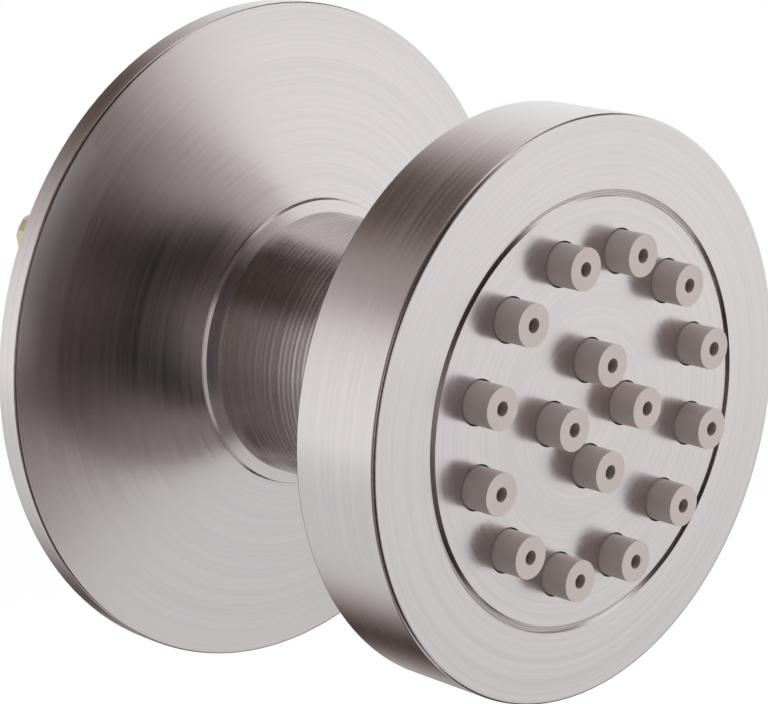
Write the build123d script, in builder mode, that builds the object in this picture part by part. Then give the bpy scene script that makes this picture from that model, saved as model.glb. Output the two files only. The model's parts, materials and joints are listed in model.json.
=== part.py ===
from build123d import *
from math import acos, asin, cos, degrees, radians, sin, sqrt, tan
import os

# A shower body jet for a wall: an inlet in the wall, a flange on it, and a round spray head on a ball joint.
# Millimetres. The origin is on the axis at the wall plane, the spray faces -Y and +Z is up.
# A "place" is a distance ahead of the wall, so it is negative behind the wall.

# Clearances
running_clearance = 0.05
ball_clearance = 0.08
slip_clearance = 0.1
end_float = 0.1
swing_gap = 0.5

# Ball joint
ball_diameter = 18.0
stem_diameter = 11.0
water_bore = 6.4
cup_wall = 1.2
cup_skirt = 2.0
tilt_limit = 15.0
tilt_margin = 3.0
seal_contact_angle = 17.0
seal_floor_gap = 0.3
collar_diameter = 14.0
collar_thickness = 0.8
stem_socket = 7.0
stem_socket_depth = 4.0

# Neck sleeve
neck_length = 17.87
sleeve_wall = 1.9
lip_thickness = 1.5
lip_edge_chamfer = 0.5
neck_edge_round = 1.0
foot_step = 1.2
foot_height = 0.95
foot_land = 0.3
seam_chamfer = 0.1
foot_washer_thickness = 0.25
foot_washer_inset = 0.45

# Escutcheon and its seals
escutcheon_diameter = 61.94
escutcheon_height = 6.6
rim_height = 2.1
rim_wall = 2.2
rim_edge_round = 0.25
flange_wall = 1.5
flange_hub_clearance = 0.3
flange_hub_rear = 1.2
flange_hub_step = 0.3
escutcheon_ring_cord = 1.28
escutcheon_ring_place = 3.9
ring_groove_play = 0.3
gasket_width = 4.2

# Inlet
inlet_depth = 19.6
wrench_flats = 4
flats_wall = 1.52
flats_turn = 56.0
bar_wall = 5.92
bar_chamfer = 0.4
shoulder_wall = 2.7
thread_diameter = 20.955
thread_length = 12.0
thread_mouth_chamfer = 0.8
relief_step = 0.25
relief_length = 2.8
screen_thickness = 0.4
screen_hole = 2.2
screen_ring_radius = 3.7
screen_ring_holes = 6
filter_washer_thickness = 2.2
filter_washer_hole = 13.0
regulator_diameter = 13.8
regulator_thickness = 4.0
regulator_recess = 2.0
regulator_post = 4.4
regulator_ring_cord = 1.6
regulator_ring_diameter = 6.8
regulator_jet = 1.2
regulator_jets = 6

# Head
head_diameter = 50.8
head_front_round = 0.4
head_rear_round = 0.4
front_ring_width = 6.55
front_ring_thickness = 1.6
shell_wall = 2.85
plate_flange = 1.2
plate_gap = 0.15
plate_groove_chamfer = 0.25
cover_wall = 1.9
cover_rim = 2.3
chamber_depth = 1.6
cover_hub_length = 3.4
cover_hub_diameter = 17.0
cover_hub_chamfer = 0.5
spray_plate_thickness = 1.4
spray_plate_hole = 2.4
cover_ring_width = 1.0
cover_ring_depth = 0.95
cover_groove_land = 0.3
stem_ring_width = 0.9
spanner_hole = 3.0
spanner_hole_depth = 1.1
spanner_hole_spread = 32.0

# Nozzles
nozzle_diameter = 3.66
nozzle_reach = 2.65
nozzle_clearance = 0.15
nozzle_jet = 1.24
nozzle_entry = 2.2
nozzle_entry_depth = 4.0
mat_thickness = 1.3
outer_ring_inset = 4.78
outer_nozzles = 12
outer_ring_turn = 15.0
inner_ring_radius = 4.64
inner_nozzles = 4

# Radii of the ball joint, and of the neck and flange that follow from it
ball_radius = ball_diameter / 2
stem_radius = stem_diameter / 2
bore_radius = water_bore / 2
collar_radius = collar_diameter / 2
seat_radius = ball_radius + ball_clearance
cup_radius = seat_radius + cup_wall
sleeve_bore = cup_radius + running_clearance
neck_radius = sleeve_bore + sleeve_wall
foot_radius = neck_radius + foot_step
shank_radius = cup_radius
flange_hub_bore = shank_radius + flange_hub_clearance
rim_radius = escutcheon_diameter / 2
hollow_radius = rim_radius - rim_wall
tilt = radians(tilt_limit)

# The cup's mouth lets the stem tilt, and the seal's mouth stays outside the tilted water bore
cup_mouth_angle = asin(stem_radius / ball_radius) + radians(tilt_limit + tilt_margin)
cup_reach = seat_radius * cos(cup_mouth_angle)
seal_inner_angle = asin(bore_radius / ball_radius) + radians(tilt_limit + tilt_margin)
seal_outer_angle = seal_inner_angle + radians(seal_contact_angle)

# Places along the axis, from the wall to the front
foot_place = escutcheon_height + foot_washer_thickness
neck_front = foot_place + neck_length
lip_rear = neck_front - lip_thickness
cup_front = lip_rear - end_float
ball_place = cup_front - cup_reach
cup_rear = ball_place - cup_skirt
spigot_front = cup_rear - end_float
seal_front = ball_place - seat_radius * cos(seal_outer_angle)
ball_rear = ball_place - sqrt(ball_radius**2 - bore_radius**2)
seal_rear = ball_rear - seal_floor_gap

# The lip and the collar stay clear of each other at the full tilt
lip_reach = neck_front - ball_place
lip_mouth = lip_reach * tan(tilt) + stem_radius / cos(tilt) + swing_gap
collar_reach = (lip_reach + swing_gap + collar_radius * sin(tilt)) / cos(tilt)
collar_rear = ball_place + collar_reach
cover_hub_rear = collar_rear + collar_thickness
head_rear = cover_hub_rear + cover_hub_length
cover_front = head_rear + cover_wall
spray_plate_rear = cover_front + chamber_depth
mat_rear = spray_plate_rear + spray_plate_thickness
mat_front = mat_rear + mat_thickness
flange_front = mat_front + plate_flange
head_front = flange_front + front_ring_thickness
nozzle_tip = head_front + nozzle_reach

# Radii of the head
head_radius = head_diameter / 2
shell_bore = head_radius - shell_wall
stack_radius = shell_bore - slip_clearance
ring_bore = head_radius - front_ring_width
plate_radius = ring_bore - plate_gap
outer_ring_radius = plate_radius - outer_ring_inset
cover_radius = shell_bore - running_clearance
cover_groove_floor = cover_radius - cover_ring_depth
cover_groove_front = spray_plate_rear - cover_groove_land
cover_groove_rear = cover_groove_front - cover_ring_width

# Places and radii of the inlet
thread_radius = thread_diameter / 2
relief_radius = thread_radius + relief_step
flats_reach = thread_radius + flats_wall
bar_radius = thread_radius + bar_wall
inlet_rear = -inlet_depth
thread_end = inlet_rear + thread_length
shoulder = thread_end + relief_length
bar_front = shoulder + shoulder_wall
screen_rear = shoulder - screen_thickness
pocket_radius = regulator_diameter / 2 + slip_clearance
pocket_front = shoulder + regulator_thickness + end_float

# Profile drawings hold (radius, place), and face drawings look at the front from the wall
profile = Plane(origin=(0, 0, 0), x_dir=(1, 0, 0), z_dir=(0, 0, -1))
face = Plane(origin=(0, 0, 0), x_dir=(1, 0, 0), z_dir=(0, -1, 0))


def section(*corners):
    """Fill the outline through these (radius, place) corners in the open sketch."""
    Polygon(*corners, align=None)


def ring_section(inner, outer, rear, front):
    """Fill the section of a plain ring in the open sketch."""
    section((inner, rear), (outer, rear), (outer, front), (inner, front))


def nozzle_circles(diameter):
    """Draw a circle at every nozzle in the open sketch."""
    with PolarLocations(outer_ring_radius, outer_nozzles, start_angle=outer_ring_turn):
        Circle(diameter / 2)
    with PolarLocations(inner_ring_radius, inner_nozzles):
        Circle(diameter / 2)


def cord_ring(radius, cord, place):
    """A ring of round cord about the axis."""
    with BuildPart() as ring:
        with BuildSketch(profile):
            with Locations((radius, place)):
                Circle(cord / 2)
        revolve(axis=Axis.Y)
    return ring.part


def flat_ring(inner, outer, rear, front):
    """A ring of rectangular section about the axis."""
    with BuildPart() as ring:
        with BuildSketch(profile):
            ring_section(inner, outer, rear, front)
        revolve(axis=Axis.Y)
    return ring.part


def flange_height(radius):
    """Place of the flange's cone at this radius, from its rim up to the seam."""
    climb = escutcheon_height - seam_chamfer - rim_height
    return rim_height + climb * (rim_radius - radius) / (rim_radius - foot_radius)


# Inlet body: a turned bar with wrench flats and the inlet thread, and a shank whose spigot holds the seal
with BuildPart() as inlet_body:
    with BuildSketch(face.offset(inlet_rear)):
        RegularPolygon(flats_reach, wrench_flats, major_radius=False, rotation=flats_turn)
    extrude(amount=bar_front - inlet_rear)
    with BuildSketch(profile):
        section(
            (0, inlet_rear),
            (bar_radius - bar_chamfer, inlet_rear),
            (bar_radius, inlet_rear + bar_chamfer),
            (bar_radius, bar_front - bar_chamfer),
            (bar_radius - bar_chamfer, bar_front),
            (0, bar_front),
        )
    revolve(axis=Axis.Y, mode=Mode.INTERSECT)
    with BuildSketch(face.offset(bar_front)):
        Circle(shank_radius)
    extrude(amount=spigot_front - bar_front)
    with BuildSketch(profile):
        section(
            (0, inlet_rear),
            (thread_radius + thread_mouth_chamfer, inlet_rear),
            (thread_radius, inlet_rear + thread_mouth_chamfer),
            (thread_radius, thread_end),
            (relief_radius, thread_end),
            (relief_radius, shoulder),
            (pocket_radius, shoulder),
            (pocket_radius, pocket_front),
            (bore_radius, pocket_front),
            (bore_radius, seal_rear),
            (seat_radius, seal_rear),
            (seat_radius, spigot_front),
            (0, spigot_front),
        )
    revolve(axis=Axis.Y, mode=Mode.SUBTRACT)

# Strainer at the bottom of the thread, with the sealing washer on it
with BuildPart() as filter_screen:
    with BuildSketch(face.offset(screen_rear)):
        Circle(relief_radius - slip_clearance)
        Circle(screen_hole / 2, mode=Mode.SUBTRACT)
        with PolarLocations(screen_ring_radius, screen_ring_holes):
            Circle(screen_hole / 2, mode=Mode.SUBTRACT)
    extrude(amount=screen_thickness)

filter_washer = flat_ring(
    filter_washer_hole / 2,
    relief_radius - slip_clearance,
    screen_rear - filter_washer_thickness,
    screen_rear,
)

# Flow regulator: water passes the elastic ring, which closes on the small jets as the pressure grows
with BuildPart() as flow_regulator:
    with BuildSketch(face.offset(shoulder)):
        Circle(regulator_diameter / 2)
    extrude(amount=regulator_thickness)
    recess_radius = regulator_ring_diameter / 2 + regulator_ring_cord / 2 + ring_groove_play
    with BuildSketch(face.offset(shoulder)):
        Circle(recess_radius)
        Circle(regulator_post / 2, mode=Mode.SUBTRACT)
    extrude(amount=regulator_recess, mode=Mode.SUBTRACT)
    with BuildSketch(face.offset(shoulder)):
        with PolarLocations(regulator_ring_diameter / 2, regulator_jets):
            Circle(regulator_jet / 2)
    extrude(amount=regulator_thickness, mode=Mode.SUBTRACT)

regulator_ring = cord_ring(
    regulator_ring_diameter / 2,
    regulator_ring_cord,
    shoulder + regulator_recess - regulator_ring_cord / 2,
)

# Escutcheon: a thin rim, a cone up to the neck, and a hub round the shank
with BuildPart() as escutcheon:
    flange_hub_radius = foot_radius - flange_hub_step
    with BuildSketch(profile):
        section(
            (flange_hub_bore, flange_hub_rear),
            (flange_hub_radius, flange_hub_rear),
            (flange_hub_radius, flange_height(flange_hub_radius) - flange_wall),
            (hollow_radius, flange_height(hollow_radius) - flange_wall),
            (hollow_radius, 0),
            (rim_radius, 0),
            (rim_radius, rim_height),
            (foot_radius, escutcheon_height - seam_chamfer),
            (foot_radius - seam_chamfer, escutcheon_height),
            (flange_hub_bore, escutcheon_height),
        )
    revolve(axis=Axis.Y)
    rim_edge = escutcheon.edges().filter_by(GeomType.CIRCLE).sort_by(SortBy.RADIUS)[-2:].sort_by(Axis.Y)[0]
    fillet(rim_edge, rim_edge_round)
    groove_half = escutcheon_ring_cord / 2 + ring_groove_play
    with BuildSketch(profile):
        ring_section(
            shank_radius,
            shank_radius + escutcheon_ring_cord,
            escutcheon_ring_place - groove_half,
            escutcheon_ring_place + groove_half,
        )
    revolve(axis=Axis.Y, mode=Mode.SUBTRACT)

escutcheon_ring = cord_ring(
    shank_radius + escutcheon_ring_cord / 2, escutcheon_ring_cord, escutcheon_ring_place
)

# Foam gasket in the hollow behind the flange, flush with the wall
with BuildPart() as wall_gasket:
    gasket_outer = hollow_radius - slip_clearance
    gasket_inner = gasket_outer - gasket_width
    with BuildSketch(profile):
        section(
            (gasket_inner, 0),
            (gasket_outer, 0),
            (gasket_outer, flange_height(gasket_outer) - flange_wall - running_clearance),
            (gasket_inner, flange_height(gasket_inner) - flange_wall - running_clearance),
        )
    revolve(axis=Axis.Y)

# Thin washer that leaves the fine seam between flange and neck
foot_washer = flat_ring(flange_hub_bore, foot_radius - foot_washer_inset, escutcheon_height, foot_place)

# Neck sleeve: a nut on the shank, with a low stepped foot on the flange and a lip that holds the ball cup
with BuildPart() as neck_sleeve:
    with BuildSketch(profile):
        section(
            (sleeve_bore, foot_place),
            (foot_radius - seam_chamfer, foot_place),
            (foot_radius, foot_place + seam_chamfer),
            (foot_radius, foot_place + seam_chamfer + foot_land),
            (neck_radius, foot_place + foot_height),
            (neck_radius, neck_front),
            (lip_mouth, neck_front),
            (lip_mouth, lip_rear),
            (sleeve_bore, lip_rear),
        )
    revolve(axis=Axis.Y)
    front_edges = neck_sleeve.edges().group_by(Axis.Y)[0].sort_by(SortBy.RADIUS)
    fillet(front_edges[-1], neck_edge_round)
    chamfer(front_edges[0], lip_edge_chamfer)

# Ball joint: the seal behind the ball, the cup that turns in the neck, and the ball with its hollow stem
with BuildPart() as ball_seal:
    with BuildSketch(profile):
        with BuildLine():
            seal_arc = CenterArc(
                (0, ball_place),
                seat_radius,
                degrees(seal_inner_angle) - 90,
                degrees(seal_outer_angle - seal_inner_angle),
            )
            Polyline(
                seal_arc @ 1,
                (seat_radius - running_clearance, seal_front),
                (seat_radius - running_clearance, seal_rear),
                (seat_radius * sin(seal_inner_angle), seal_rear),
                seal_arc @ 0,
            )
        make_face()
    revolve(axis=Axis.Y)

with BuildPart() as ball_cup:
    with BuildSketch(profile):
        with BuildLine():
            cup_arc = CenterArc((0, ball_place), seat_radius, 0, 90 - degrees(cup_mouth_angle))
            Polyline(
                cup_arc @ 1,
                (cup_radius, cup_front),
                (cup_radius, cup_rear),
                (seat_radius, cup_rear),
                cup_arc @ 0,
            )
        make_face()
    revolve(axis=Axis.Y)

with BuildPart() as ball_stem:
    rear_angle = degrees(acos(bore_radius / ball_radius))
    stem_angle = degrees(acos(stem_radius / ball_radius))
    with BuildSketch(profile):
        with BuildLine():
            ball_arc = CenterArc((0, ball_place), ball_radius, -rear_angle, rear_angle + stem_angle)
            Polyline(
                ball_arc @ 1,
                (stem_radius, collar_rear),
                (collar_radius, collar_rear),
                (collar_radius, cover_hub_rear),
                (stem_radius, cover_hub_rear),
                (stem_radius, cover_front),
                (bore_radius, cover_front),
                ball_arc @ 0,
            )
        make_face()
    revolve(axis=Axis.Y)
    with BuildSketch(face.offset(cover_front)):
        RegularPolygon(stem_socket / 2, 6, major_radius=False)
    extrude(amount=-stem_socket_depth, mode=Mode.SUBTRACT)

# Square-cut seal between the collar and the hub of the rear cover
ring_seat = stem_radius + stem_ring_width
stem_ring = flat_ring(
    stem_radius + running_clearance,
    ring_seat - running_clearance,
    cover_hub_rear,
    cover_hub_rear + stem_ring_width,
)

# Rear cover of the head: it screws into the shell and carries the hub, the ring groove and the spanner holes
with BuildPart() as back_cover:
    cover_hub_radius = cover_hub_diameter / 2
    stem_hole = stem_radius + running_clearance
    with BuildSketch(profile):
        section(
            (ring_seat, cover_hub_rear),
            (cover_hub_radius, cover_hub_rear),
            (cover_hub_radius, head_rear),
            (cover_radius, head_rear),
            (cover_radius, cover_groove_rear),
            (cover_groove_floor, cover_groove_rear),
            (cover_groove_floor, cover_groove_front),
            (cover_radius, cover_groove_front),
            (cover_radius, spray_plate_rear),
            (cover_radius - cover_rim, spray_plate_rear),
            (cover_radius - cover_rim, cover_front),
            (stem_hole, cover_front),
            (stem_hole, cover_hub_rear + stem_ring_width),
            (ring_seat, cover_hub_rear + stem_ring_width),
        )
    revolve(axis=Axis.Y)
    hub_edge = back_cover.edges().group_by(Axis.Y)[-1].sort_by(SortBy.RADIUS)[-1]
    chamfer(hub_edge, cover_hub_chamfer)
    with BuildSketch(face.offset(head_rear)):
        with PolarLocations(spanner_hole_spread / 2, 2):
            Circle(spanner_hole / 2)
    extrude(amount=spanner_hole_depth, mode=Mode.SUBTRACT)

# Square-cut seal in the groove of the rear cover
cover_ring = flat_ring(
    cover_groove_floor + running_clearance, cover_radius, cover_groove_rear, cover_groove_front
)

# Plate that presses the nozzle mat on the face plate and feeds each nozzle
with BuildPart() as spray_plate:
    with BuildSketch(face.offset(spray_plate_rear)):
        Circle(stack_radius)
    extrude(amount=spray_plate_thickness)
    with BuildSketch(face.offset(spray_plate_rear)):
        nozzle_circles(spray_plate_hole)
    extrude(amount=spray_plate_thickness, mode=Mode.SUBTRACT)

# Nozzle mat: a silicone sheet with straight nozzles, each with a wide entry and a small jet
with BuildPart() as nozzle_mat:
    with BuildSketch(face.offset(mat_rear)):
        Circle(stack_radius)
    extrude(amount=mat_thickness)
    with BuildSketch(face.offset(mat_front)):
        nozzle_circles(nozzle_diameter)
    extrude(amount=nozzle_tip - mat_front)
    with BuildSketch(face.offset(mat_rear)):
        nozzle_circles(nozzle_jet)
    extrude(amount=nozzle_tip - mat_rear, mode=Mode.SUBTRACT)
    with BuildSketch(face.offset(mat_rear)):
        nozzle_circles(nozzle_entry)
    extrude(amount=nozzle_entry_depth, mode=Mode.SUBTRACT)

# Face plate: a land that fills the front ring, a flange behind the ring, and a hole for each nozzle
with BuildPart() as face_plate:
    with BuildSketch(profile):
        section(
            (0, mat_front),
            (stack_radius, mat_front),
            (stack_radius, flange_front),
            (plate_radius, flange_front),
            (plate_radius, head_front - plate_groove_chamfer),
            (plate_radius - plate_groove_chamfer, head_front),
            (0, head_front),
        )
    revolve(axis=Axis.Y)
    with BuildSketch(face.offset(mat_front)):
        nozzle_circles(nozzle_diameter + 2 * nozzle_clearance)
    extrude(amount=head_front - mat_front, mode=Mode.SUBTRACT)

# Head shell: the round outer wall with the front ring
with BuildPart() as head_shell:
    with BuildSketch(profile):
        section(
            (shell_bore, head_rear),
            (head_radius, head_rear),
            (head_radius, head_front),
            (ring_bore + plate_groove_chamfer, head_front),
            (ring_bore, head_front - plate_groove_chamfer),
            (ring_bore, flange_front),
            (shell_bore, flange_front),
        )
    revolve(axis=Axis.Y)
    outer_edges = head_shell.edges().filter_by(GeomType.CIRCLE).sort_by(SortBy.RADIUS)[-2:].sort_by(Axis.Y)
    fillet(outer_edges[0], head_front_round)
    outer_edges = head_shell.edges().filter_by(GeomType.CIRCLE).group_by(Axis.Y)[-1].sort_by(SortBy.RADIUS)
    fillet(outer_edges[-1], head_rear_round)

pieces = {
    "inlet_body": inlet_body.part,
    "filter_screen": filter_screen.part,
    "filter_washer": filter_washer,
    "flow_regulator": flow_regulator.part,
    "regulator_ring": regulator_ring,
    "escutcheon": escutcheon.part,
    "escutcheon_ring": escutcheon_ring,
    "wall_gasket": wall_gasket.part,
    "foot_washer": foot_washer,
    "neck_sleeve": neck_sleeve.part,
    "ball_seal": ball_seal.part,
    "ball_cup": ball_cup.part,
    "ball_stem": ball_stem.part,
    "stem_ring": stem_ring,
    "back_cover": back_cover.part,
    "cover_ring": cover_ring,
    "spray_plate": spray_plate.part,
    "nozzle_mat": nozzle_mat.part,
    "face_plate": face_plate.part,
    "head_shell": head_shell.part,
}

os.makedirs("parts", exist_ok=True)
for name, piece in pieces.items():
    piece.label = name
    export_step(piece, f"parts/{name}.step")
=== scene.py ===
import bmesh
import bpy
import json
import math
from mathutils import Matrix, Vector


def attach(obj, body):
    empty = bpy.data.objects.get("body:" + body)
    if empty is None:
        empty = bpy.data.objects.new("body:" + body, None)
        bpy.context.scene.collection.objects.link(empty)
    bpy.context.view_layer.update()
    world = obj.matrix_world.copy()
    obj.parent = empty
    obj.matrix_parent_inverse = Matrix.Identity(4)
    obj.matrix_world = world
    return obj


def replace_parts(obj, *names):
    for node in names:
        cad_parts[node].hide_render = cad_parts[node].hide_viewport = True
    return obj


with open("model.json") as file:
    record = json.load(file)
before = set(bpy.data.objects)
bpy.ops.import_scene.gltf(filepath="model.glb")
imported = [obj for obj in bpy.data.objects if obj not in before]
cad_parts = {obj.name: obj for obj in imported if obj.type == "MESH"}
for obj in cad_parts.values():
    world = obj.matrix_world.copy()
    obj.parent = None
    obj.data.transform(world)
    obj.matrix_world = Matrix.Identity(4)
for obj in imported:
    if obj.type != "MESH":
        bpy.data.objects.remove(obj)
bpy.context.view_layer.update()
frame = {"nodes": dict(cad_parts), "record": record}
nodes = frame["nodes"]

# Metres. The object's axis is Y, the wall is at y = 0, the spray faces -Y and +Z is up.
MM = 0.001

# Camera, from the photograph
camera_position = Vector((-0.17128, -0.18898, 0.06493))
camera_target = Vector((0.00568, -0.01041, -0.00137))
camera_lens = 130.67
sensor_width = 36.0
nearest_seen = 0.01

# Lights. A level is the share of its own colour that a surface shows.
world_level = 0.34
key_level = 0.62
key_place = (1.5, -1.24, 0.5)
key_size = 1.0
top_level = 0.25
top_place = (0.2, -0.2, 1.8)
top_size = 1.6

# Floor: it fades out between two distances from its middle
floor_height = -0.65
floor_size = 10.0
floor_fade = (1.3, 3.2)
floor_colour = (0.85, 0.85, 0.85, 1)
floor_lift = 0.58
floor_mirrored = 0.78

# Dark cards for the reflections. The warmth is a power for red, green and blue.
card_distance = 0.6
card_colour = (0.026, 0.019, 0.015)
card_warmth = (1.0, 1.12, 1.16)

# The cards leave a window straight ahead, in degrees, so that the face stays light from the front
window_azimuth = (-20, 4)
window_elevation = (-15, 11)
window_edge = 6


# Shader helpers

def add(tree, kind, inputs=None, **properties):
    """Add a shader node, set its properties, and link or fill the named inputs."""
    made = tree.nodes.new(kind)
    for name, value in properties.items():
        setattr(made, name, value)
    for name, value in (inputs or {}).items():
        socket = made.inputs[name]
        if isinstance(value, bpy.types.NodeSocket):
            tree.links.new(value, socket)
        else:
            socket.default_value = value
    return made


def math_node(tree, operation, first, second=0.0, third=0.0):
    """A Math node's result."""
    return add(tree, "ShaderNodeMath", {0: first, 1: second, 2: third}, operation=operation).outputs[0]


def map_range(tree, value, old, new):
    """Move a value from one range to another, held at the ends."""
    inputs = {"Value": value, "From Min": old[0], "From Max": old[1], "To Min": new[0], "To Max": new[1]}
    return add(tree, "ShaderNodeMapRange", inputs).outputs["Result"]


def ramp(tree, value, span, dark, light):
    """A colour that goes from dark to light as the value crosses the span."""
    made = add(tree, "ShaderNodeValToRGB", {"Fac": value})
    for point, place, colour in zip(made.color_ramp.elements, span, (dark, light)):
        point.position = place
        point.color = (*colour, 1.0)
    return made.outputs["Color"]


def scaled(colour, factor):
    """A colour made lighter or darker."""
    return tuple(channel * factor for channel in colour)


def new_material(name):
    """An empty node material with its output."""
    material = bpy.data.materials.new(name)
    material.use_nodes = True
    tree = material.node_tree
    tree.nodes.clear()
    output = add(tree, "ShaderNodeOutputMaterial")
    return material, tree, output


def noise(tree, vector, scale):
    """A plain noise value over the given coordinates."""
    inputs = {"Vector": vector, "Scale": scale, "Detail": 2.0}
    return add(tree, "ShaderNodeTexNoise", inputs).outputs["Fac"]


def object_place(tree):
    """Coordinates fixed to the piece, in metres."""
    return add(tree, "ShaderNodeTexCoord").outputs["Object"]


def round_axis(tree):
    """Distance from the Y axis, place along it, and the direction round it."""
    split = add(tree, "ShaderNodeSeparateXYZ", {"Vector": object_place(tree)})
    across = add(tree, "ShaderNodeCombineXYZ", {"X": split.outputs["X"], "Z": split.outputs["Z"]})
    reach = add(tree, "ShaderNodeVectorMath", {0: across.outputs[0]}, operation="LENGTH").outputs["Value"]
    around = add(tree, "ShaderNodeVectorMath", {0: across.outputs[0]}, operation="NORMALIZE").outputs[0]
    return reach, split.outputs["Y"], around


def turned_lines(tree, spacing, sectors):
    """Noise drawn out into fine lines round the Y axis.

    The sectors set how soon a line fades along its arc.
    """
    reach, place, around = round_axis(tree)
    turn = add(tree, "ShaderNodeSeparateXYZ", {"Vector": around})
    lines = add(tree, "ShaderNodeCombineXYZ", {
        "X": math_node(tree, "MULTIPLY", reach, 1 / spacing),
        "Y": math_node(tree, "MULTIPLY", place, 1 / spacing),
        "Z": math_node(tree, "MULTIPLY", turn.outputs["X"], sectors),
    })
    inputs = {
        "Vector": lines.outputs[0],
        "W": math_node(tree, "MULTIPLY", turn.outputs["Z"], sectors),
        "Scale": 1.0,
        "Detail": 0.0,
    }
    return add(tree, "ShaderNodeTexNoise", inputs, noise_dimensions="4D").outputs["Fac"]


# Materials

# The part of a noise's range that the whole change of tone and roughness is spread over
line_span = (0.35, 0.65)
skin_span = (0.3, 0.7)

# How far tone and roughness change, and how much larger the clouds of tone are than the grain
line_tone = 0.04
line_roughness = 0.03
skin_roughness = 0.06
cloud_to_grain = 30

# The brushing runs a quarter of a turn from the tangent
brush_turn = 0.25

# Painted shade on the middle of the head's rear cover: a dull black coat that stands for the shade there,
# so that the flange shows it dark in its reflection
shade_coat_radius = 16 * MM
shade_coat_edge = 0.1 * MM
shade_coat_dark = (0.018, 0.018, 0.018)
shade_coat_light = (0.024, 0.023, 0.023)
shade_coat_roughness = 0.5

# Nozzles of the mat: radius of each ring, how many, and the angle of the first
nozzle_rings = [(13.92 * MM, 12, math.radians(15)), (4.64 * MM, 4, 0.0)]
# The radius and tone of the painted shade on the wall inside each jet
jet_radius = 0.65 * MM
jet_shade_tone = 0.7


def brushed_metal(name, colour, roughness, anisotropy, cuts, middle=0.0):
    """Metal brushed round the Y axis, with lines in its relief, tone and roughness.

    Each cut is a set of lines: their spacing, the sectors they run through and their depth.
    Within the radius called middle the metal is painted dull black: painted shade, standing for the shade
    on the head's rear, which the flange reflects.
    """
    material, tree, output = new_material(name)
    height = 0.0
    for spacing, sectors, depth in cuts:
        height = math_node(tree, "MULTIPLY_ADD", turned_lines(tree, spacing, sectors), depth, height)
    shade = math_node(tree, "DIVIDE", height, sum(depth for spacing, sectors, depth in cuts))
    tone = ramp(tree, shade, line_span, scaled(colour, 1 - line_tone), scaled(colour, 1 + line_tone))
    rough = map_range(tree, shade, line_span, (roughness - line_roughness, roughness + line_roughness))
    bare = 1.0
    # Painted shade: a dull black, rough middle in place of the shade on the rear cover
    if middle:
        bare = map_range(tree, round_axis(tree)[0], (middle, middle + shade_coat_edge), (0, 1))
        painted_shade = ramp(tree, shade, line_span, shade_coat_dark, shade_coat_light)
        tone = add(tree, "ShaderNodeMixRGB", {"Fac": bare, "Color1": painted_shade, "Color2": tone}).outputs[0]
        rough = math_node(tree, "MAXIMUM", rough, map_range(tree, bare, (0, 1), (shade_coat_roughness, 0)))
    bump = add(tree, "ShaderNodeBump", {"Strength": 1.0, "Distance": 1.0, "Height": height})
    tangent = add(tree, "ShaderNodeTangent", direction_type="RADIAL", axis="Y")
    surface = add(tree, "ShaderNodeBsdfPrincipled", {
        "Base Color": tone,
        "Metallic": bare,
        "Roughness": rough,
        "Anisotropic": anisotropy,
        "Anisotropic Rotation": brush_turn,
        "Tangent": tangent.outputs[0],
        "Normal": bump.outputs[0],
    })
    tree.links.new(surface.outputs[0], output.inputs["Surface"])
    return material


def jet_shade_mask(tree):
    """1 on the wall of each nozzle's small jet, where painted shade darkens the deep hole, 0 elsewhere on
    the mat.
    """
    reach, _, around = round_axis(tree)
    turn = add(tree, "ShaderNodeSeparateXYZ", {"Vector": around})
    angle = math_node(tree, "ARCTAN2", turn.outputs["Z"], turn.outputs["X"])
    inside = 0.0
    for radius, count, start in nozzle_rings:
        turned_back = math_node(tree, "ADD", angle, math.tau - start)
        bend = math_node(tree, "PINGPONG", turned_back, math.pi / count)
        local = add(tree, "ShaderNodeCombineXYZ", {
            "X": math_node(tree, "MULTIPLY", reach, math_node(tree, "COSINE", bend)),
            "Y": math_node(tree, "MULTIPLY", reach, math_node(tree, "SINE", bend)),
        })
        inputs = {0: local.outputs[0], 1: (radius, 0, 0)}
        gap = add(tree, "ShaderNodeVectorMath", inputs, operation="DISTANCE").outputs["Value"]
        inside = math_node(tree, "MAXIMUM", inside, math_node(tree, "LESS_THAN", gap, jet_radius))
    return inside


def moulded(name, colour, roughness, grain, depth, variation=0.06, ior=1.45, jets=False):
    """Moulded rubber or plastic with a fine skin and a slight change of tone, with painted shade that
    darkens the inside of any jets.
    """
    material, tree, output = new_material(name)
    place = object_place(tree)
    skin = noise(tree, place, 1 / grain)
    cloud = noise(tree, place, 1 / (grain * cloud_to_grain))
    tone = ramp(tree, cloud, skin_span, scaled(colour, 1 - variation), scaled(colour, 1 + variation))
    # Painted shade: the wall inside each jet made darker, where the deep hole is in shade
    if jets:
        shaded = (*scaled(colour, jet_shade_tone), 1)
        inputs = {"Fac": jet_shade_mask(tree), "Color1": tone, "Color2": shaded}
        tone = add(tree, "ShaderNodeMixRGB", inputs).outputs[0]
    rough = map_range(tree, skin, skin_span, (roughness - skin_roughness, roughness + skin_roughness))
    bump = add(tree, "ShaderNodeBump", {"Strength": 1.0, "Distance": depth, "Height": skin})
    surface = add(tree, "ShaderNodeBsdfPrincipled", {
        "Base Color": tone,
        "Roughness": rough,
        "IOR": ior,
        "Normal": bump.outputs[0],
    })
    tree.links.new(surface.outputs[0], output.inputs["Surface"])
    return material


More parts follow.
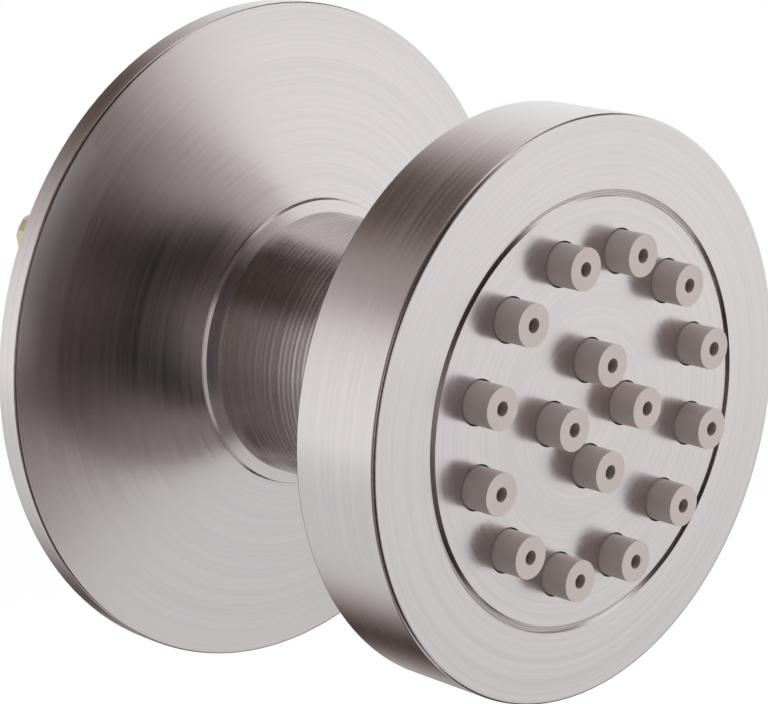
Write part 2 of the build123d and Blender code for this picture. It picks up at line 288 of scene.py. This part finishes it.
nickel_colour = (0.70, 0.657, 0.663)
nickel_look = (nickel_colour, 0.23, 0.45)
brush_lines = [(0.1 * MM, 0.7, 0.0008 * MM), (0.35 * MM, 0.35, 0.0015 * MM)]
neck_lines = [(0.1 * MM, 0.3, 0.0008 * MM), (0.3 * MM, 0.2, 0.0012 * MM)]
coarse_lines = [(0.25 * MM, 2.0, 0.004 * MM), (0.9 * MM, 0.8, 0.008 * MM)]
brushed_nickel = brushed_metal("brushed_nickel", *nickel_look, brush_lines)
turned_nickel = brushed_metal("turned_nickel", nickel_colour, 0.25, 0.5, neck_lines)
shaded_cover_nickel = brushed_metal("shaded_cover_nickel", *nickel_look, brush_lines, shade_coat_radius)
bright_nickel = brushed_metal("bright_nickel", (0.72, 0.69, 0.66), 0.16, 0.2, brush_lines)
brass = brushed_metal("brass", (0.74, 0.66, 0.42), 0.30, 0.3, coarse_lines)
stainless = brushed_metal("stainless", (0.60, 0.59, 0.58), 0.30, 0.1, coarse_lines)
silicone = moulded("silicone", (0.624, 0.537, 0.513), 0.55, 0.12 * MM, 0.002 * MM, 0.03, 1.41, True)
black_rubber = moulded("black_rubber", (0.025, 0.024, 0.024), 0.55, 0.15 * MM, 0.004 * MM)
foam = moulded("foam", (0.055, 0.055, 0.058), 0.85, 0.35 * MM, 0.08 * MM)
white_plastic = moulded("white_plastic", (0.74, 0.73, 0.70), 0.38, 0.2 * MM, 0.002 * MM)
grey_plastic = moulded("grey_plastic", (0.10, 0.10, 0.105), 0.45, 0.2 * MM, 0.004 * MM)

finishes = {
    "brushed_nickel": brushed_nickel,
    "bright_nickel": bright_nickel,
    "brass": brass,
    "stainless": stainless,
    "silicone": silicone,
    "black_rubber": black_rubber,
    "foam": foam,
    "white_plastic": white_plastic,
    "grey_plastic": grey_plastic,
}

for part in frame["record"]["subparts"]:
    mesh = nodes[part["node"]].data
    mesh.materials.clear()
    mesh.materials.append(finishes[part["material_slot"]])

# The head's rear cover has its middle painted dark, as painted shade that the flange reflects
nodes["back_cover"].data.materials[0] = shaded_cover_nickel


# Turned and threaded detail, drawn in millimetres. A place is a distance ahead of the wall.

sharp_from = math.radians(40)


def link(obj):
    """Put an object in the scene."""
    bpy.context.scene.collection.objects.link(obj)
    return obj


def swept(name, rows, closed):
    """A smooth mesh through rows of points, each row a closed outline.

    Closed joins the last row to the first; otherwise both ends are capped.
    """
    made = bmesh.new()
    rings = [[made.verts.new(point) for point in row] for row in rows]
    count = len(rings[0])
    for number in range(len(rings) if closed else len(rings) - 1):
        near = rings[number]
        far = rings[(number + 1) % len(rings)]
        for place in range(count):
            after = (place + 1) % count
            made.faces.new((near[place], near[after], far[after], far[place]))
    if not closed:
        made.faces.new(rings[0])
        made.faces.new(rings[-1])
    bmesh.ops.recalc_face_normals(made, faces=made.faces)
    mesh = bpy.data.meshes.new(name)
    made.to_mesh(mesh)
    made.free()
    mesh.polygons.foreach_set("use_smooth", [True] * len(mesh.polygons))
    mesh.set_sharp_from_angle(angle=sharp_from)
    return link(bpy.data.objects.new(name, mesh))


def turned(radius, place, angle):
    """The point at this radius, place and angle round the axis."""
    return Vector((radius * math.cos(angle), -place, radius * math.sin(angle))) * MM


def revolved(name, outline, segments, finish):
    """A ring turned from an outline of (radius, place) points."""
    rows = []
    for number in range(segments):
        rows.append([turned(radius, place, math.tau * number / segments) for radius, place in outline])
    ring = swept(name, rows, True)
    ring.data.materials.append(finish)
    return ring


def quarter_round(middle, radius, steps):
    """Outline points round an outer edge, from its side to its front."""
    bends = [math.radians(90 * number / steps) for number in range(steps + 1)]
    return [(middle[0] + radius * math.cos(bend), middle[1] + radius * math.sin(bend)) for bend in bends]


def make_neck():
    """The neck sleeve with the fine rings that the lathe left, and its foot drawn close to the flange."""
    radius = 12.23
    bore = 10.33
    rear = 6.85
    foot_rear = 6.62
    first = 7.41
    last = 23.72
    round_off = 1.0
    round_steps = 6
    front = last + round_off
    lip_bore = 7.995
    lip_rear = 23.22
    lip_chamfer = 0.5
    pitch = 0.6
    depth = 0.012
    swell = 0.3
    swell_rate = 2.4
    steps = 8
    fade = 5
    segments = 160
    # The foot has a recess behind, a land towards the flange, a fine edge and a face sloping in to the neck
    outline = [(bore, rear), (13.02, rear), (13.06, foot_rear)]
    outline += [(13.4, foot_rear), (13.43, 6.66), (13.3, 7.02)]
    rings = int((last - first) / pitch)
    for number in range(rings * steps + 1):
        along = number / steps
        cut = depth * min(1, along / fade) * (1 - swell + swell * math.sin(swell_rate * along))
        hollow = 0.5 - 0.5 * math.cos(math.tau * along)
        outline.append((radius - cut * hollow, first + along * pitch))
    outline += quarter_round((radius - round_off, last), round_off, round_steps)
    outline += [(lip_bore + lip_chamfer, front), (lip_bore, front - lip_chamfer)]
    outline += [(lip_bore, lip_rear), (bore, lip_rear)]
    neck = revolved("neck_turned", outline, segments, turned_nickel)
    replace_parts(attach(neck, "base"), "neck_sleeve")


def make_thread():
    """The half inch pipe thread inside the inlet, a ridge on the bore that fades in and out."""
    pitch = 1.814
    bore = 10.4775
    crest = 1.16
    least = 0.06
    crest_half = 0.12
    flank = 0.62
    sunk = 0.05
    first = -18.3
    last = -8.5
    per_turn = 64
    run_in = 0.5
    turns = (last - first) / pitch
    count = int(turns * per_turn)
    rows = []
    for number in range(count + 1):
        turn = number / per_turn
        turns_left = (count - number) / per_turn
        fade = min(1.0, turn / run_in, turns_left / run_in)
        middle = first + turn * pitch
        height = max(least, crest * fade)
        half = crest_half + flank * height / crest
        top = bore - height
        root = bore + sunk
        section = ((root, -half), (top, -crest_half), (top, crest_half), (root, half))
        rows.append([turned(radius, middle + step, math.tau * turn) for radius, step in section])
    thread = swept("inlet_thread", rows, False)
    thread.data.materials.append(brass)
    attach(thread, "base")


def make_bead():
    """The fine bead that closes the gap around the face plate, a little below the face."""
    inner = 18.71
    outer = 18.84
    rear = 39.6
    front = 40.27
    bevel = 0.03
    segments = 200
    outline = [(inner, rear), (outer, rear), (outer, front - bevel), (outer - bevel, front)]
    outline += [(inner + bevel, front), (inner, front - bevel)]
    bead = revolved("groove_bead", outline, segments, brushed_nickel)
    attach(bead, "head")


def make_edge():
    """The head's rounded front edge, drawn finer than the shell's own facets and just proud of them."""
    middle = (25.0, 40.15)
    round_off = 0.404
    round_steps = 12
    side = middle[0] + round_off
    front = middle[1] + round_off
    land = 0.2
    sunk = 0.15
    segments = 360
    outline = [(side - sunk, middle[1] - land), (side, middle[1] - land)]
    outline += quarter_round(middle, round_off, round_steps)
    outline += [(middle[0] - land, front), (middle[0] - land, front - sunk)]
    edge = revolved("head_edge", outline, segments, brushed_nickel)
    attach(edge, "head")


make_neck()
make_thread()
make_bead()
make_edge()


# Studio

def square(name, size):
    """A flat square about its own centre, facing its own +Z."""
    mesh = bpy.data.meshes.new(name)
    corners = [(x * size / 2, y * size / 2, 0) for x, y in ((-1, -1), (1, -1), (1, 1), (-1, 1))]
    mesh.from_pydata(corners, [], [(0, 1, 2, 3)])
    return link(bpy.data.objects.new(name, mesh))


def background_rays(tree):
    """1 for the rays that should see the white background: camera, glossy and transmission rays."""
    path = add(tree, "ShaderNodeLightPath")
    either = math_node(tree, "MAXIMUM", path.outputs["Is Camera Ray"], path.outputs["Is Glossy Ray"])
    return math_node(tree, "MAXIMUM", either, path.outputs["Is Transmission Ray"])


def make_world():
    """A white background, and an even soft light of a lower level."""
    world = bpy.data.worlds.new("studio")
    bpy.context.scene.world = world
    world.use_nodes = True
    tree = world.node_tree
    tree.nodes.clear()
    output = add(tree, "ShaderNodeOutputWorld")
    strength = map_range(tree, background_rays(tree), (0, 1), (world_level, 1.0))
    white = add(tree, "ShaderNodeBackground", {"Color": (1, 1, 1, 1), "Strength": strength})
    tree.links.new(white.outputs[0], output.inputs["Surface"])


def make_floor():
    """A pale floor that keeps shadows, is white to the camera and a little darker in reflections."""
    floor = square("floor", floor_size)
    floor.location.z = floor_height
    material, tree, output = new_material("floor")
    path = add(tree, "ShaderNodeLightPath")
    pale = add(tree, "ShaderNodeBsdfDiffuse", {"Color": floor_colour})
    lift = math_node(tree, "MULTIPLY", path.outputs["Is Camera Ray"], floor_lift)
    glow = add(tree, "ShaderNodeEmission", {"Strength": lift})
    lifted = add(tree, "ShaderNodeAddShader", {0: pale.outputs[0], 1: glow.outputs[0]})
    even = add(tree, "ShaderNodeEmission", {"Strength": floor_mirrored})
    seen = add(tree, "ShaderNodeMixShader", {
        0: path.outputs["Is Glossy Ray"],
        1: lifted.outputs[0],
        2: even.outputs[0],
    })
    reach = add(tree, "ShaderNodeVectorMath", {0: object_place(tree)}, operation="LENGTH").outputs["Value"]
    inputs = {"Value": reach, "From Min": floor_fade[0], "From Max": floor_fade[1]}
    fade = add(tree, "ShaderNodeMapRange", inputs, interpolation_type="SMOOTHSTEP").outputs["Result"]
    clear = add(tree, "ShaderNodeBsdfTransparent")
    mixed = add(tree, "ShaderNodeMixShader", {0: fade, 1: seen.outputs[0], 2: clear.outputs[0]})
    tree.links.new(mixed.outputs[0], output.inputs["Surface"])
    floor.data.materials.append(material)


def direction(azimuth, elevation):
    """The way to look from the object, in degrees.

    Azimuth runs from the front towards the left of the picture, and elevation upwards.
    """
    turn = math.radians(azimuth)
    climb = math.radians(elevation)
    return Vector((-math.sin(turn) * math.cos(climb), -math.cos(turn) * math.cos(climb), math.sin(climb)))


def soft_range(tree, value, ends, edge):
    """1 well inside a range of degrees, and softly down to 0 at its ends."""
    away = math_node(tree, "ABSOLUTE", math_node(tree, "SUBTRACT", value, sum(ends) / 2))
    inward = math_node(tree, "SUBTRACT", (ends[1] - ends[0]) / 2, away)
    inputs = {"Value": inward, "From Max": edge}
    return add(tree, "ShaderNodeMapRange", inputs, interpolation_type="SMOOTHSTEP").outputs["Result"]


def card_mesh(name, azimuth, elevation):
    """A curved sheet over the two ranges of degrees, with the degrees of each point as its UV map."""
    columns = 24
    rows = 16
    points = []
    places = []
    for row in range(rows + 1):
        for column in range(columns + 1):
            turn = azimuth[0] + (azimuth[1] - azimuth[0]) * column / columns
            climb = elevation[0] + (elevation[1] - elevation[0]) * row / rows
            points.append(direction(turn, climb) * card_distance)
            places.append((turn, climb))
    faces = []
    for row in range(rows):
        for column in range(columns):
            first = row * (columns + 1) + column
            faces.append((first, first + 1, first + columns + 2, first + columns + 1))
    mesh = bpy.data.meshes.new(name)
    mesh.from_pydata(points, [], faces)
    layer = mesh.uv_layers.new(name="degrees")
    for corner in mesh.loops:
        layer.data[corner.index].uv = places[corner.vertex_index]
    return mesh


def card_material(name, azimuth, elevation, edges, depth):
    """Dark in the middle, clear along the edges and in the window, and warm in between."""
    material, tree, output = new_material(name)
    degrees = add(tree, "ShaderNodeUVMap", uv_map="degrees").outputs[0]
    split = add(tree, "ShaderNodeSeparateXYZ", {"Vector": degrees})
    cover = depth
    window = 1.0
    for axis, ends, edge, opening in (
        ("X", azimuth, edges[0], window_azimuth),
        ("Y", elevation, edges[1], window_elevation),
    ):
        angle = split.outputs[axis]
        cover = math_node(tree, "MULTIPLY", soft_range(tree, angle, ends, edge), cover)
        window = math_node(tree, "MULTIPLY", soft_range(tree, angle, opening, window_edge), window)
    cover = math_node(tree, "MULTIPLY", cover, math_node(tree, "SUBTRACT", 1.0, window))
    left = math_node(tree, "SUBTRACT", 1.0, cover)
    shares = [math_node(tree, "POWER", left, power) for power in card_warmth]
    tint = add(tree, "ShaderNodeCombineColor", {"Red": shares[0], "Green": shares[1], "Blue": shares[2]})
    clear = add(tree, "ShaderNodeBsdfTransparent", {"Color": tint.outputs[0]})
    dark = add(tree, "ShaderNodeEmission", {"Color": (*card_colour, 1), "Strength": cover})
    both = add(tree, "ShaderNodeAddShader", {0: clear.outputs[0], 1: dark.outputs[0]})
    tree.links.new(both.outputs[0], output.inputs["Surface"])
    return material


def make_card(name, azimuth, elevation, edges, depth=1.0):
    """A curved dark card that only reflections see, soft along its edges, to draw the form of the metal.

    The two ranges, and the width of the soft edges each way, are in degrees as seen from the object.
    The depth is how much of the light the card takes away at its middle.
    """
    mesh = card_mesh(name, azimuth, elevation)
    card = link(bpy.data.objects.new(name, mesh))
    mesh.materials.append(card_material(name, azimuth, elevation, edges, depth))
    card.visible_camera = False
    card.visible_diffuse = False
    card.visible_shadow = False
    card.visible_transmission = False


def make_lamp(name, place, size, level):
    """A square soft lamp that gives a white surface facing it the given share of white."""
    data = bpy.data.lights.new(name, "AREA")
    data.size = size
    distance = Vector(place).length
    data.energy = level * math.pi**2 * distance**2
    lamp = link(bpy.data.objects.new(name, data))
    lamp.location = place
    lamp.rotation_mode = "QUATERNION"
    lamp.rotation_quaternion = Vector(place).to_track_quat("Z", "Y")
    lamp.visible_glossy = False


def make_camera():
    """The photograph's camera."""
    data = bpy.data.cameras.new("camera")
    data.lens = camera_lens
    data.sensor_width = sensor_width
    data.clip_start = nearest_seen
    camera = link(bpy.data.objects.new("camera", data))
    camera.location = camera_position
    camera.rotation_mode = "QUATERNION"
    camera.rotation_quaternion = (camera_target - camera_position).to_track_quat("-Z", "Y")
    bpy.context.scene.camera = camera


make_world()
make_floor()

# Bands on the flange, the neck and the head's wall
make_card("card_top", (113, 236), (-4, 96), (54, 50), 0.94)
make_card("card_bottom", (150, 244), (-80, -14), (47, 30), 0.94)
make_card("card_front", (-35, 58), (-22, 88), (24, 20))
make_card("card_low", (-17, 58), (-84, 6), (18, 22))
make_card("card_side", (43, 106), (-75, 90), (24, 16), 0.9)
make_card("card_high", (30, 146), (20, 96), (20, 18), 0.84)
make_card("card_under", (92, 215), (-80, -52), (24, 10))

# The dark line along the top and bottom of the head's front edge
make_card("card_right", (-128, -60), (22, 84), (18, 14))
make_card("card_corner", (-140, -70), (-70, -14), (14, 12))
make_card("card_down", (-125, -4), (-95, -58), (16, 10))

make_lamp("key", key_place, key_size, key_level)
make_lamp("top", top_place, top_size, top_level)
make_camera()
bpy.context.scene.view_settings.view_transform = "Standard"
